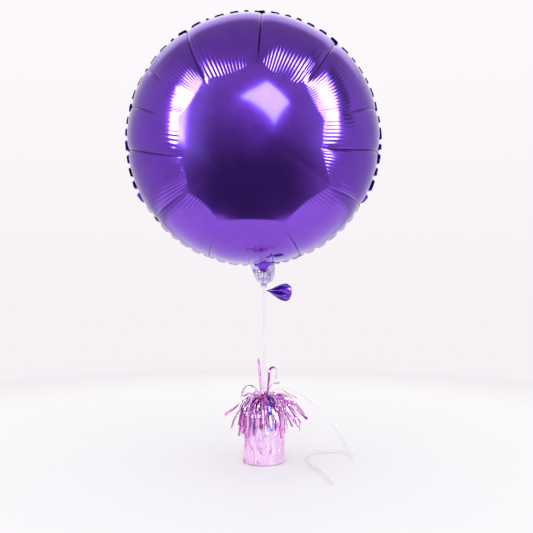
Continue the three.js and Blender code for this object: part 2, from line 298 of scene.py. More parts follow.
# Wrap: metallised polypropylene sheet in pale pink, crumpled by hand round the cup. Its facets mirror the
# pale floor almost white and turn deep pink where they face the dark.
metallisedWrap = {
    "pink": "#FBD0F9",
    "pinkDeep": "#F4B4F0",
    "folded": "#B0449F",
    "toneWidth": 11,  # mm
    "metal": 0.5,  # the print is thin, so it is half mirror and half milky
    "roughness": 0.2,
    "crease": 3.4,
    "creaseHeight": 0.25,
    "stretch": 0.35,  # the creases are drawn out upwards
}


def makeMetallisedWrap():
    p = metallisedWrap
    material, tree, place = newMaterial("metallisedPolypropyleneWrap")
    tone = addNode(tree, "TexNoise", {"Vector": place, "Scale": cells(p["toneWidth"]), "Detail": 3.0})
    colour = addNode(tree, "ValToRGB", {"Fac": tone}, [(0.3, p["pinkDeep"]), (0.5, p["pink"])])
    # painted shade: along its creases the wrap is painted a dark deep pink
    fold = addNode(tree, "Attribute", attribute_name="creaseShade").outputs["Fac"]
    folded = addNode(tree, "Mix", {0: fold, 6: colour, 7: linear(p["folded"])}, data_type="RGBA")
    drawn = addNode(tree, "Mapping", {"Vector": place, "Scale": (1, 1, p["stretch"])})
    creases = addNode(tree, "TexVoronoi", {"Vector": drawn, "Scale": cells(p["crease"])},
                      feature="DISTANCE_TO_EDGE")
    rough = addNode(tree, "MapRange", {"Value": tone, "To Min": p["roughness"] - 0.06,
                                       "To Max": p["roughness"] + 0.12})
    bump = addNode(tree, "Bump", {"Height": creases, "Distance": p["creaseHeight"] * mm,
                                  "Strength": 0.3})
    setSurface(tree, "BsdfPrincipled", {
        "Base Color": folded.outputs[2], "Metallic": p["metal"], "Roughness": rough,
        "Coat Weight": 0.3, "Coat Roughness": 0.1, "Normal": bump})
    return material


# Tinsel: metallised polyester cut into strips. The cut strips stay flat mirrors, so each one flashes white,
# pink or nearly black as a whole.
cutPolyester = {"toneWidth": 6, "roughness": 0.1, "wrinkle": 2.4, "wrinkleHeight": 0.05}


def makeCutPolyester(name, colour, edgeColour):
    p = cutPolyester
    material, tree, place = newMaterial(name)
    tone = addNode(tree, "TexNoise", {"Vector": place, "Scale": cells(p["toneWidth"]), "Detail": 2.0})
    tint = addNode(tree, "ValToRGB", {"Fac": tone}, [(0.36, edgeColour), (0.6, colour)])
    wrinkles = addNode(tree, "TexNoise", {"Vector": place, "Scale": cells(p["wrinkle"]), "Detail": 3.0})
    bump = addNode(tree, "Bump", {"Height": wrinkles, "Distance": p["wrinkleHeight"] * mm})
    setSurface(tree, "BsdfPrincipled", {
        "Base Color": tint, "Metallic": 0.85, "Roughness": p["roughness"],
        "Coat Weight": 0.5, "Coat Roughness": 0.05, "Normal": bump})
    return material


# The valve: two strips of clear polyethylene, blown film, slightly hazy.
blownPolyethylene = {"colour": "#F1F1F6", "hazeColour": "#DADBE4", "haze": 4, "hazeHeight": 0.04,
                     "roughness": 0.25, "clearness": 0.7}


def makeBlownPolyethylene():
    p = blownPolyethylene
    material, tree, place = newMaterial("blownPolyethyleneFilm")
    haze = addNode(tree, "TexNoise", {"Vector": place, "Scale": cells(p["haze"]), "Detail": 3.0})
    colour = addNode(tree, "ValToRGB", {"Fac": haze}, [(0.3, p["hazeColour"]), (0.7, p["colour"])])
    bump = addNode(tree, "Bump", {"Height": haze, "Distance": p["hazeHeight"] * mm})
    setSurface(tree, "BsdfPrincipled", {
        "Base Color": colour, "Roughness": p["roughness"], "IOR": 1.51,
        "Transmission Weight": p["clearness"], "Normal": bump})
    return material


# Parts inside the wrap: a moulded polystyrene cup, cast plaster and a lid of grey pulp board.
def makeCoreMaterial(name, dark, pale, grain, height, roughness):
    material, tree, place = newMaterial(name)
    speckle = addNode(tree, "TexNoise", {"Vector": place, "Scale": cells(grain), "Detail": 5.0})
    colour = addNode(tree, "ValToRGB", {"Fac": speckle}, [(0.35, dark), (0.65, pale)])
    bump = addNode(tree, "Bump", {"Height": speckle, "Distance": height * mm})
    setSurface(tree, "BsdfPrincipled", {
        "Base Color": colour, "Roughness": roughness, "Normal": bump})
    return material


print("materials")
filmMaterial = makeMetallisedNylon()
neckMaterial = makeCrushedNylon()
ribbonMaterial = makeSlitPolypropylene()
wrapMaterial = makeMetallisedWrap()
tinselMaterials = [
    makeCutPolyester("cutPolyesterPink", "#F9B8F5", "#EE94E6"),
    makeCutPolyester("cutPolyesterPale", "#FDDCFB", "#F7BFF3"),
    makeCutPolyester("cutPolyesterDeep", "#E07AD7", "#BC4FAE"),
    makeCutPolyester("cutPolyesterViolet", "#8C6FD6", "#6A4BB0"),
]
coreMaterials = {
    "front_valve_film": makeBlownPolyethylene(),
    "weight_cup": makeCoreMaterial("mouldedPolystyreneCup", "#E3DFD8", "#EFECE6", 1.2, 0.01, 0.42),
    "plaster_fill": makeCoreMaterial("castPlaster", "#CFC8BC", "#DFDAD0", 0.8, 0.12, 0.92),
    "card_lid": makeCoreMaterial("greyPulpBoard", "#A88A66", "#BFA27B", 0.6, 0.05, 0.88),
}
coreMaterials["back_valve_film"] = coreMaterials["front_valve_film"]
for node, material in coreMaterials.items():
    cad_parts[node].data.materials.clear()
    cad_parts[node].data.materials.append(material)

print("ribbon")
ribbon = {
    "width": 5.0,
    "thickness": 0.3,
    "cup": 0.15,
    "twistFrom": 10,  # degrees that the tether's width is turned at the weight
    "twist": 150,  # and how far it turns on its way up
    "onEdge": (40, 4),  # mm over the floor between which the free end turns to stand on edge
}
# The free end leaves the tinsel, arches down to the floor and curls on it. Points are in metres.
freeEndRoute = [
    (0.0064, -0.0012, 0.0956), (0.012, -0.0024, 0.0986), (0.020, -0.004, 0.101), (0.032, -0.006, 0.1014),
    (0.046, -0.008, 0.096), (0.060, -0.009, 0.086), (0.074, -0.009, 0.073), (0.088, -0.008, 0.058),
    (0.100, -0.005, 0.042), (0.110, -0.001, 0.026), (0.118, 0.005, 0.012), (0.123, 0.013, 0.0046),
    (0.124, 0.024, 0.0028), (0.118, 0.035, 0.0028), (0.105, 0.042, 0.0028), (0.089, 0.042, 0.0028),
    (0.074, 0.035, 0.0028), (0.064, 0.022, 0.0028), (0.059, 0.005, 0.0028), (0.060, -0.015, 0.0028),
    (0.065, -0.038, 0.0028), (0.072, -0.062, 0.0028), (0.079, -0.088, 0.0028), (0.085, -0.116, 0.0028),
]


def makeRibbonPiece(name, points, faces, body, node):
    return makePiece(name, points, faces, [ribbonMaterial], body, [node])


# The width of the free end lies across the arch in the air and stands on edge on the floor.
def makeFreeEnd():
    route = smoothRoute(freeEndRoute, 12) / mm
    onFloor = smoothStep(*ribbon["onEdge"], route[:, 2])[:, None]
    sideways = np.cross(unit(np.gradient(route, axis=0)), [0, 0, 1])
    across = unit(sideways) * (1 - onFloor) + np.array([0, 0, 1]) * onFloor
    points, faces = bandMesh(route, across, ribbon["width"], ribbon["thickness"], cup=ribbon["cup"])
    piece = makeRibbonPiece("ribbonFreeEnd", points, faces, "weight", "ribbon_free_end")


def makeTether():
    low, high = boxOf("tether_ribbon")
    heights = np.linspace(low[2], high[2], 60)
    route = np.stack([0 * heights, 0 * heights, heights], axis=1)
    turn = np.radians(np.linspace(ribbon["twistFrom"], ribbon["twistFrom"] + ribbon["twist"], 60))
    across = np.stack([np.cos(turn), np.sin(turn), 0 * turn], axis=1)
    points, faces = bandMesh(route, across, ribbon["width"], ribbon["thickness"], cup=ribbon["cup"])
    piece = makeRibbonPiece("ribbonTether", points, faces, "tether", "tether_ribbon")


knot = {"reach": 4.5, "height": 1.7, "squeeze": 0.9, "width": 0.55, "thickness": 0.25}


# A knot in flat ribbon, drawn as a tight trefoil. It rides on the body that has its node's name.
def makeKnot(name, node):
    low, high = boxOf(node)
    centre, radius = (low + high) / 2, (high - low)[2] / 2
    t = np.linspace(0, 2 * math.pi, 121)[:-1]
    loop = np.stack([np.sin(t) + 2 * np.sin(2 * t), np.cos(t) - 2 * np.cos(2 * t),
                     -np.sin(3 * t) * knot["height"]], axis=1)
    route = centre + loop * radius / knot["reach"] * np.array([1, 1, knot["squeeze"]])
    ends = np.vstack([route, route[:1]])
    across = unit(np.cross(np.gradient(ends, axis=0), ends - centre)) * 0.7 + np.array([0, 0, 0.7])
    points, faces = bandMesh(ends, across, radius * knot["width"], knot["thickness"])
    makeRibbonPiece(name, points, faces, node, node)


# The ribbon bunches as it winds round the neck, so its turns are narrow and lie unevenly.
neckTurns = {"turns": 3.6, "width": 1.9, "thickness": 0.3, "inset": 0.35, "margin": 1.0, "uneven": 0.25,
             "pace": 1.4, "bulging": 1, "steps": 220}


# Turns wound from the bottom of a node's box to its top. They rise unevenly and, where bulging is 1, stand
# out unevenly too.
def windTurns(node, wound, seed):
    low, high = boxOf(node)
    centre, radius = (low + high) / 2, (high - low)[0] / 2 - wound["inset"]
    t = np.linspace(0, wound["turns"] * 2 * math.pi, wound["steps"])
    wobble = wound["uneven"] * valueNoise(t * wound["pace"], 0 * t, seed)
    reach = radius + wound["bulging"] * wobble
    rise = np.linspace(low[2] + wound["margin"], high[2] - wound["margin"], wound["steps"]) + wobble
    route = np.stack([centre[0] + reach * np.cos(t), centre[1] + reach * np.sin(t), rise], axis=1)
    upright = np.tile([0.0, 0.0, 1.0], (wound["steps"], 1))
    return bandMesh(route, upright, wound["width"], wound["thickness"])


def makeNeckTurns():
    points, faces = windTurns("neck_ribbon_turns", neckTurns, 31)
    makeRibbonPiece("neckRibbonTurns", points, faces, "balloon", "neck_ribbon_turns")


makeTether()
makeFreeEnd()
makeKnot("weightKnot", "weight_knot")
makeKnot("lowerNeckKnot", "lower_neck_knot")
makeKnot("upperNeckKnot", "upper_neck_knot")
makeNeckTurns()

print("balloon film")
balloon = {
    "rings": 90,
    "spokes": 1000,
    "knee": 12.0,  # degrees of slope past which the smooth middle is flatter than a plain inflated disc
    "kneeSoft": 2.5,  # degrees over which that sets in
    "pastKnee": 0.4,  # share of the slope past that which it keeps
    "middleEdge": (-2.5, 3.5),  # mm from the middle's edge over which the slope changes to a plain disc's
    "edgeLift": 1.5,  # degrees of slope gained just outside the middle
    "liftReach": 20,
    "middleShare": 0.6,  # radius of the smooth middle over the balloon's
    "apart": 0.15,  # mm, half the gap between the panels beside the seam
    "seam": 4.5,
    "scallops": 60,
    "neckAngle": -86.0,
    "neckShare": 5.8,  # degrees each side of the neck without a seam
    "creaseWidth": 1.3,
    "pinchWidth": 10.0,
    "sharpShare": 0.6,  # of a crease's depth, the share in its sharp fold; the pinch round it has the rest
    "held": 0.6,  # share of the sharp fold that the seam holds flat
    "heldReach": 5,
    "creaseStrengths": (0.8, 1.2),
    "creaseLead": 0.04,  # radius shares before and past a crease's end over which it grows
    "creaseGrowth": 0.13,
    "shadeWidth": 1.1,
    "shadeDepth": 3.0,  # a crease this deep is fully dark
    "puckerSpacing": 4.5,  # mm, measured at the next share of the radius
    "puckerRadius": 0.66,
    "puckerHeight": 0.17,
    "puckerStrengths": (0.7, 1.25),
    "puckerStart": (0.97, 1.05),  # over the middle's radius
    "puckerEnd": (0.97, 0.74),  # over the balloon's
    "puckerPatch": 9,  # degrees
    "puckerWander": 0.9,
    "notchWidth": 1.6,
    "rimBulge": 0.8,  # mm by which the film swells between notches beside the seam
    "rimReach": 14,
    "gather": 0.5,  # height of the folds that the neck draws in
    "gatherWidth": 11,  # degrees
    "gatherLength": 40,
    "slack": 0.05,  # height of the film's slow waves
    "slackLength": 28,
    "seamForward": -48,  # degrees that the seam is folded between notches, towards the front
    "seamTop": -22,  # the same at the top
    "topFrom": (0.5, 0.9),  # heights over the radius between which the top sets in
    "bottomTo": (-0.55, -0.3),  # and between which the bottom ends
    "topTaut": 1.2,  # mm by which the film bulges less near the seam at the top
    "tautFrom": 22,  # mm from the seam where that is most
    "seamBack": 50,  # degrees that it is folded at the notches, towards the back
    "seamUnder": 72,  # the same all along the bottom
    "dashEdge": (2.5, 5.0),  # mm from a notch over which it turns from one to the other
    "scallopEdge": (0.3, 4.2),  # and over which it widens
    "notchShift": 0.18,  # of their spacing
    "notchLengths": (6, 17),
    "notchDepths": (0.5, 1.2),
    "seamWave": 0.35,
    "seamRings": (0.12, 0.4, 0.7, 1.0),
    "seamShade": 0.9,
}
# Each crease: its angle at the seam, its angle and radius share where it ends, and its depth.
frontCreases = [
    (86, 85, 0.47, 3.8), (48.6, 39, 0.52, 3.8), (13, 9, 0.7, 2.6), (-6.5, -17, 0.55, 3.2),
    (-32, -37.5, 0.72, 2.8), (-68, -71.5, 0.8, 2.8), (-81.3, -81, 0.9, 2.2), (-91.9, -92, 0.9, 2.2),
    (-110.8, -110, 0.86, 2.8), (-140.5, -136.6, 0.69, 2.8), (-174.5, -157, 0.56, 3.2), (166, 172, 0.7, 2.6),
    (147, 153, 0.74, 1.9), (122, 136.5, 0.46, 3.8),
]
# Corners of the smooth middle: angle, radius, and how far the side to the next corner bows in.
frontCorners = [
    (85, 84, 9), (38, 84, 8), (5, 92, 3), (-16, 95, 2), (-36, 124, 4), (-70.5, 128, 4), (-110, 128, 4),
    (-135, 115, 4), (-165, 99, 4), (173, 94, 3), (135, 86, 4),
]
backCreases = [(90 + 25.7 * i + 5 * math.sin(2.3 * i), 90 + 25.7 * i + 9 * math.sin(1.7 * i),
                0.58 + 0.1 * math.sin(1.3 * i), 3.0 + 0.7 * math.cos(2.9 * i)) for i in range(14)]
backCorners = [(20 + 36 * i + 4 * math.sin(1.9 * i), 102 + 8 * math.sin(2.1 * i), 5) for i in range(10)]


# Arc, and on each spoke the slope, radius and depth, along one side of two equal discs sealed at their edge
# and inflated. Inside the smooth middle, whose edge each spoke gives, the film is flatter than that.
def filmProfile(radius, depth, edges):
    w = np.linspace(0, 1, 1601)
    middle = (w[1:] + w[:-1]) / 2
    plain = math.pi / 2 * middle ** 2
    step = radius / (2 * np.sqrt(np.sin(plain))) * math.pi * middle * (w[1] - w[0])
    knee, soft = math.radians(balloon["knee"]), math.radians(balloon["kneeSoft"])
    pastKnee = np.minimum((plain - knee) / soft, 40)
    flatter = plain - (1 - balloon["pastKnee"]) * soft * np.log1p(np.exp(pastKnee))
    reach = (radius * np.sqrt(np.sin(plain)))[:, None]
    # a flatter middle moves its own edge outwards, so the edge is found again a few times
    for _ in range(4):
        past = reach - edges[None, :]
        outside = smoothStep(*balloon["middleEdge"], past)
        lift = math.radians(balloon["edgeLift"]) * np.exp(-np.maximum(past, 0) / balloon["liftReach"])
        slope = flatter[:, None] * (1 - outside) + (plain[:, None] + lift) * outside
        reach = np.cumsum(np.cos(slope) * step[:, None], axis=0)
        reach = reach * radius / reach[-1]
    drop = np.cumsum(np.sin(slope) * step[:, None], axis=0)
    return np.cumsum(step), slope, reach, (drop[-1] - drop) * depth / drop[-1]


# Places along the arc for the rings on each spoke: one is on the edge of the middle, with more beside it.
def ringPlaces(arc, reach, edges, nominal):
    end = arc[-1]
    atEdge = np.array([np.interp(edge, reach[:, i], arc) for i, edge in enumerate(edges)])
    usual = np.interp(nominal, reach[:, 0], arc)
    crowd = np.cumsum(1 + 2.2 * np.exp(-((arc - usual) / 8) ** 2) + 1.0 * np.exp(-(end - arc) / 9))
    rings = np.interp(np.linspace(0.01, 1, balloon["rings"]), crowd / crowd[-1], arc)[:, None]
    follow = np.where(rings < usual, (rings / usual) ** 3, (end - rings) / (end - usual))
    return rings + (atEdge - usual)[None, :] * follow


def sampleSpokes(values, place):
    low = np.clip(np.floor(place).astype(int), 0, len(values) - 2)
    spoke = np.arange(values.shape[1])[None, :]
    part = place - low
    return values[low, spoke] * (1 - part) + values[low + 1, spoke] * part


# Radius of the smooth middle at each angle: a polygon whose sides bow in.
def cornerRadius(corners, angles):
    corners = sorted((a % 360, r, bow) for a, r, bow in corners)
    first, last = corners[0], corners[-1]
    corners = [(last[0] - 360, *last[1:])] + corners + [(first[0] + 360, *first[1:])]
    found = np.zeros_like(angles)
    for (a, ra, bow), (b, rb, _) in zip(corners, corners[1:]):
        inside = (angles >= a) & (angles < b)
        a0, b0, here = math.radians(a), math.radians(b), np.radians(angles[inside])
        side = ra * rb * math.sin(b0 - a0) / (ra * np.sin(here - a0) + rb * np.sin(b0 - here))
        found[inside] = side - bow * np.sin(math.pi * (here - a0) / (b0 - a0)) ** 0.8
    reach = 6
    kernel = np.hanning(2 * reach + 1)
    padded = np.concatenate([found[-reach:], found, found[:reach]])
    return np.convolve(padded, kernel / kernel.sum(), "valid")


def angleBetween(a, b):
    return (a - b + 180) % 360 - 180


# Spoke angles all round, closer together by the creases.
def spokeAngles(creases):
    fine = np.linspace(0, 360, 7201)
    atSeam = np.array([crease[0] for crease in creases])
    near = np.abs(angleBetween(fine[:, None], atSeam[None, :])).min(axis=1)
    crowd = np.cumsum(1 + 2.0 * np.exp(-(near / 1.3) ** 2))
    crowd = (crowd - crowd[0]) / (crowd[-1] - crowd[0])
    return np.interp(np.arange(balloon["spokes"]) / balloon["spokes"], crowd, fine)


# The seam that both panels share: at each angle the distance to the nearest notch, its length and depth,
# whether the neck leaves room for the seam, and the seam's wave.
def seamAt(angles, radius):
    random = np.random.RandomState(7)
    count = balloon["scallops"]
    shift = balloon["notchShift"]
    notches = (np.arange(count) + random.uniform(-shift, shift, count)) * 360 / count
    lengths = random.uniform(*balloon["notchLengths"], count)
    depths = random.uniform(*balloon["notchDepths"], count)
    gaps = np.abs(angleBetween(angles[:, None], notches[None, :])) * math.pi / 180 * radius
    nearest = np.argmin(gaps, axis=1)
    clear = smoothStep(balloon["neckShare"], balloon["neckShare"] + 1.5,
                       np.abs(angleBetween(angles, balloon["neckAngle"])))
    wave = balloon["seamWave"] * valueNoise(angles / 3, 0 * angles, 3, 120)
    return gaps.min(axis=1), lengths[nearest], depths[nearest], clear, wave


def makeFilmPanel(name, node, facing, creases, corners, seed):
    low, high = boxOf(node)
    edgeRadius = (high[0] - low[0]) / 2
    radius = edgeRadius - balloon["seam"]
    centre = np.array([(low[0] + high[0]) / 2, 0, high[2] - edgeRadius])
    depth = max(abs(low[1]), abs(high[1])) - 0.2
    angles = spokeAngles(creases)
    turn = np.radians(angles)
    middle = cornerRadius(corners, angles)
    arc, slope, reach, height = filmProfile(radius, depth, middle)
    alongArc = ringPlaces(arc, reach, middle, balloon["middleShare"] * radius)
    place = np.interp(alongArc, arc, np.arange(len(arc)))
    slopes, reaches, heights = (sampleSpokes(values, place) for values in (slope, reach, height))
    random = np.random.RandomState(seed)
    creaseStrength = random.uniform(*balloon["creaseStrengths"], len(creases))
    lobeStrength = random.uniform(*balloon["puckerStrengths"], len(creases))
    gap, notchLength, notchDepth, clear, wave = seamAt(angles, radius)
    upmost = smoothStep(*balloon["topFrom"], np.sin(turn))
    patches = valueNoise(angles / balloon["puckerPatch"], np.full_like(angles, 0.5), seed + 9, 40)
    rings, shades = [], []
    sheet = balloon["slackLength"]
    for row in range(balloon["rings"]):
        r, toSeam = reaches[row], arc[-1] - alongArc[row]
        share = r / radius
        across, up = r * np.cos(turn) / sheet + 50, r * np.sin(turn) / sheet + 50
        offset = balloon["slack"] * valueNoise(across, up, seed + 2)
        shade = np.zeros_like(angles)
        nearCrease = np.full_like(angles, 1e3)
        places = []
        for (rimAngle, endAngle, endShare, deep), strength in zip(creases, creaseStrength):
            along = np.clip((share - endShare) / (1 - endShare), 0, 1)
            at = endAngle + angleBetween(rimAngle, endAngle) * along ** 0.8
            away = np.abs(angleBetween(angles, at)) * math.pi / 180 * r
            fade = smoothStep(endShare - balloon["creaseLead"], endShare + balloon["creaseGrowth"], share)
            shallower = 1 - balloon["held"] * np.exp(-toSeam / balloon["heldReach"])
            sharp = balloon["sharpShare"] * np.exp(-away / balloon["creaseWidth"]) * shallower
            broad = (1 - balloon["sharpShare"]) * np.exp(-(away / balloon["pinchWidth"]) ** 2)
            offset -= deep * strength * fade * (sharp + broad)
            dark = np.exp(-(away / balloon["shadeWidth"]) ** 2) * min(deep / balloon["shadeDepth"], 1)
            shade = np.maximum(shade, fade * dark)
            nearCrease = np.minimum(nearCrease, away)
            places.append(float(np.mean(at[away == away.min()])) % 360)
        # fine radial puckers between the creases, in the ring outside the smooth middle
        order = np.argsort(places)
        starts = np.array(places)[order]
        lobe = (np.searchsorted(starts, angles, "right") - 1) % len(starts)
        width = (np.roll(starts, -1) - starts) % 360
        within = ((angles - starts[lobe]) % 360) / width[lobe]
        rims = np.array(creases)[order, 0]
        spans = (np.roll(rims, -1) - rims) % 360
        length = spans * math.pi / 180 * balloon["puckerRadius"] * radius
        count = np.round(length / balloon["puckerSpacing"])
        patch = angles / balloon["puckerPatch"]
        wander = balloon["puckerWander"] * valueNoise(patch, alongArc[row] / 40, seed + 5, 40)
        pucker = np.sin(2 * math.pi * count[lobe] * within + wander)
        window = smoothStep(*balloon["puckerStart"], r / middle) * smoothStep(*balloon["puckerEnd"], share)
        strength = lobeStrength[order][lobe] * smoothStep(1.5, 6, nearCrease)
        strength = strength * np.clip(0.85 + 0.9 * patches, 0.1, 1.6)
        offset += balloon["puckerHeight"] * window * strength * pucker
        # short puckers that the seam draws in
        offset -= notchDepth * np.exp(-gap / balloon["notchWidth"]) * np.exp(-toSeam / notchLength) * clear
        offset += balloon["rimBulge"] * np.exp(-toSeam / balloon["rimReach"]) * smoothStep(0, 7, gap) * clear
        inward = toSeam / balloon["tautFrom"]
        offset -= balloon["topTaut"] * upmost * inward * np.exp(1 - inward)
        nearNeck = np.exp(-(angleBetween(angles, balloon["neckAngle"]) / balloon["gatherWidth"]) ** 2)
        folds = foldNoise(angles / 3, toSeam / balloon["gatherLength"], seed + 13, 120) - 0.6
        offset += balloon["gather"] * nearNeck * smoothStep(balloon["gatherLength"], 10, toSeam) * folds
        out = r + np.sin(slopes[row]) * offset
        y = heights[row] + np.cos(slopes[row]) * offset + balloon["apart"]
        rings.append(np.stack([out * np.cos(turn), facing * y, out * np.sin(turn)], axis=1))
        shades.append(shade)
    # the flat seam, scalloped where the film's edge is drawn in
    rim = np.hypot(rings[-1][:, 0], rings[-1][:, 2])
    upper = smoothStep(*balloon["bottomTo"], np.sin(turn))
    dashes = smoothStep(*balloon["dashEdge"], gap) * upper
    back = balloon["seamUnder"] + (balloon["seamBack"] - balloon["seamUnder"]) * upper
    forward = balloon["seamForward"] + (balloon["seamTop"] - balloon["seamForward"]) * upmost
    fold = np.radians(back + (forward - back) * dashes)
    uneven = 0.9 + 0.1 * valueNoise(angles / 6, np.ones_like(angles), 4, 60)
    scallop = smoothStep(*balloon["scallopEdge"], gap) * uneven
    for share in balloon["seamRings"]:
        wide = balloon["seam"] * share * scallop * clear * (1 + 0.2 * upmost) + 0.05 * share
        out = wide * np.cos(fold)
        y = facing * 0.1 + wide * np.sin(fold) + wave * share * clear
        rings.append(np.stack([(rim + out) * np.cos(turn), y, (rim + out) * np.sin(turn)], axis=1))
        # painted shade: between notches the seam's rings are painted nearly black, in the lacquer's crease
        # shade and without gloss
        shades.append(balloon["seamShade"] * dashes)
    tip = centre + np.array([0, facing * (heights[0].mean() + balloon["apart"]), 0])
    around = balloon["spokes"]
    hub = len(rings) * around
    faces = gridFaces(len(rings), around, True) + [[(i + 1) % around, i, hub] for i in range(around)]
    if facing > 0:
        faces = flipped(faces)
    points = np.vstack([centre + np.concatenate(rings), tip])
    piece = makePiece(name, points, faces, [filmMaterial], "balloon", [node])
    shadePoints(piece, "creaseShade", np.concatenate(shades + [[0]]))


makeFilmPanel("frontFilmPanel", "front_film_panel", -1, frontCreases, frontCorners, 7)
makeFilmPanel("backFilmPanel", "back_film_panel", 1, backCreases, backCorners, 19)

print("neck and tail")
neck = {
    "heights": [277, 271, 264, 254, 248, 244.6, 241.0],
    "left": [-20.0, -19.5, -16.5, -13.0, -10.0, -4.6, -3.3],
    "right": [13.5, 15.0, 15.2, 14.0, 11.5, 4.6, 3.3],
    "depth": [12.0, 9.0, 7.0, 5.6, 5.0, 3.6, 3.2],
    "fold": 2.4,
    "crumple": 0.4,
    "crumpleMiddle": 1.3,  # added half-way down
    "settle": 1.3,  # mm by which the film lies inside its outline
    "bareness": (-0.08, 0.38),  # from whole metal to cracked
}


# One film of the neck, drawn in to the tie with folds that run down into it.
def makeNeckFilm(name, node, facing, seed):
    rows, columns = 46, 90
    heights = np.linspace(neck["heights"][0], neck["heights"][-1], rows)
    known = neck["heights"][::-1]
    left, right, depth = (np.interp(heights, known, neck[side][::-1]) for side in ("left", "right", "depth"))
    side = np.linspace(0, math.pi, columns)
    down = np.linspace(0, 1, rows)[:, None]
    around = np.tile(side, (rows, 1))
    folds = foldNoise(around * 2.6 + 0.4 * np.sin(3 * down), down * 0.9 + 0 * around, seed)
    crumple = foldNoise(around * 4, down * 5 + 0 * around, seed + 2)
    sparkle = smoothStep(0.3, 0.5, down) * smoothStep(0.95, 0.7, down)
    crumpled = (neck["crumple"] + neck["crumpleMiddle"] * sparkle) * crumple
    swell = (neck["fold"] * folds + crumpled - neck["settle"]) * (1 - 0.5 * down) * np.sin(around) ** 0.5
    middle, half = ((left + right) / 2)[:, None], ((right - left) / 2)[:, None]
    x = middle - (half + 0.3 * swell) * np.cos(around)
    y = facing * (0.1 + (depth[:, None] + swell) * np.sin(around))
    z = np.tile(heights[:, None], (1, columns))
    points = np.stack([x, y, z], axis=2).reshape(-1, 3)
    faces = gridFaces(rows, columns)
    if facing < 0:
        faces = flipped(faces)
    piece = makePiece(name, points, faces, [neckMaterial], "balloon", [node])
    bare = smoothStep(0.34, 0.62, down + 0.42 * np.abs(np.cos(around))) * smoothStep(1.1, 0.85, down)
    whole, cracked = neck["bareness"]
    shadePoints(piece, "bareness", (cracked - whole) * bare + whole)


tail = {
    "length": 35,
    "halfWidth": 12.2,
    "rootHalf": 0.5,
    "rootFrom": 0.9,  # mm out from the start of its node
    "droop": 8,
    "bow": 1.6,
    "pleats": 2.6,
    "pleatDepth": 3.0,
    "crumple": 0.15,
    "shade": 0.85,
    "shadeWidth": 0.16,  # of a pleat's depth
}


# The loose end of the neck below the tie: a leaf with pleats that spread from its root.
def makeTailFilm(name, node, facing, seed):
    low, high = boxOf(node)
    rows, columns = 60, 56
    u = np.sin(np.linspace(0, math.pi / 2, rows))[:, None]
    v = np.linspace(-1, 1, columns)[None, :]
    taper = np.maximum(1 - (np.maximum(u - 0.7, 0) / 0.3) ** 2.8, 0) ** (1 / 2.8)
    outline = np.sin(np.clip(u / 0.8, 0, 1) * math.pi / 2) ** 1.4 * taper
    half = tail["rootHalf"] + (tail["halfWidth"] - tail["rootHalf"]) * outline + 0 * v
    spread = v + 0.05 * np.sin(4 * u + seed)
    pleat = 0.5 - 0.5 * np.cos(2 * math.pi * (spread * tail["pleats"] / 2 + 0.2 * seed))
    flare = smoothStep(0, 0.4, u) * (1 - 0.6 * smoothStep(0.55, 1.0, u))
    crumple = foldNoise(u * 3 + 0 * v, v * 2 + 3 + 0 * u, seed + 40)
    out = 0.35 + tail["pleatDepth"] * flare * pleat ** 0.7 + tail["crumple"] * crumple * (0.3 + flare)
    out = out * (1 - 0.75 * np.abs(v) ** 6)
    x = tail["length"] * u * (1 - 0.02 * v * v * u) + 0 * v
    z = half * v + tail["bow"] * np.sin(2.6 * u) * u
    droop = math.radians(tail["droop"])
    root = [low[0] + tail["rootFrom"], 0, (low[2] + high[2]) / 2 + math.sin(droop) * tail["length"] / 2]
    points = np.stack([
        root[0] + x * math.cos(droop) + z * math.sin(droop),
        facing * out + 0 * x,
        root[2] - x * math.sin(droop) + z * math.cos(droop)], axis=2).reshape(-1, 3)
    faces = gridFaces(rows, columns)
    if facing > 0:
        faces = flipped(faces)
    piece = makePiece(name, points, faces, [filmMaterial], "tail", [node])
    # painted shade: the pleats' valleys are painted in the lacquer's crease shade, fading out towards the
    # tip
    dark = tail["shade"] * np.exp(-(pleat / tail["shadeWidth"]) ** 2)
    shadePoints(piece, "creaseShade", dark * smoothStep(0.95, 0.6, u))


makeNeckFilm("frontNeckFilm", "front_neck_film", -1, 51)
makeNeckFilm("backNeckFilm", "back_neck_film", 1, 57)
makeTailFilm("frontTailFilm", "front_tail_film", -1, 1)
makeTailFilm("backTailFilm", "back_tail_film", 1, 2)

print("weight")
wrap = {
    # radius and height of the sheet, from under the cup to its gathered edge
    "outline": [(0, 0.2), (26, 0.2), (28.6, 0.9), (28.9, 4), (28.4, 40), (27.6, 64), (26.2, 69.5),
                (22, 72.5), (13, 75), (7.5, 76.5), (5.3, 78), (5.2, 83), (6.2, 86.5), (9.5, 91)],
    "pleats": 30,
    "pleatHeights": [0, 0.1, 0.15, 0.3, 0.5, 0.9, 1.3, 1.9, 1.7, 1.0, 0.5, 0.5, 1.0, 1.8],
    "crumple": 1.1,
    "cell": 15,
    "swing": 0.665,  # how far the pleats wander, over their spacing
    "creases": 28,  # round the cup
    "creaseDepth": 0.5,
    "creaseWidth": 0.09,  # of their spacing
    "shade": 0.85,
    "shadeWidth": 0.06,
    "bulge": 0.7,  # slow waves of the sheet between its folds
}


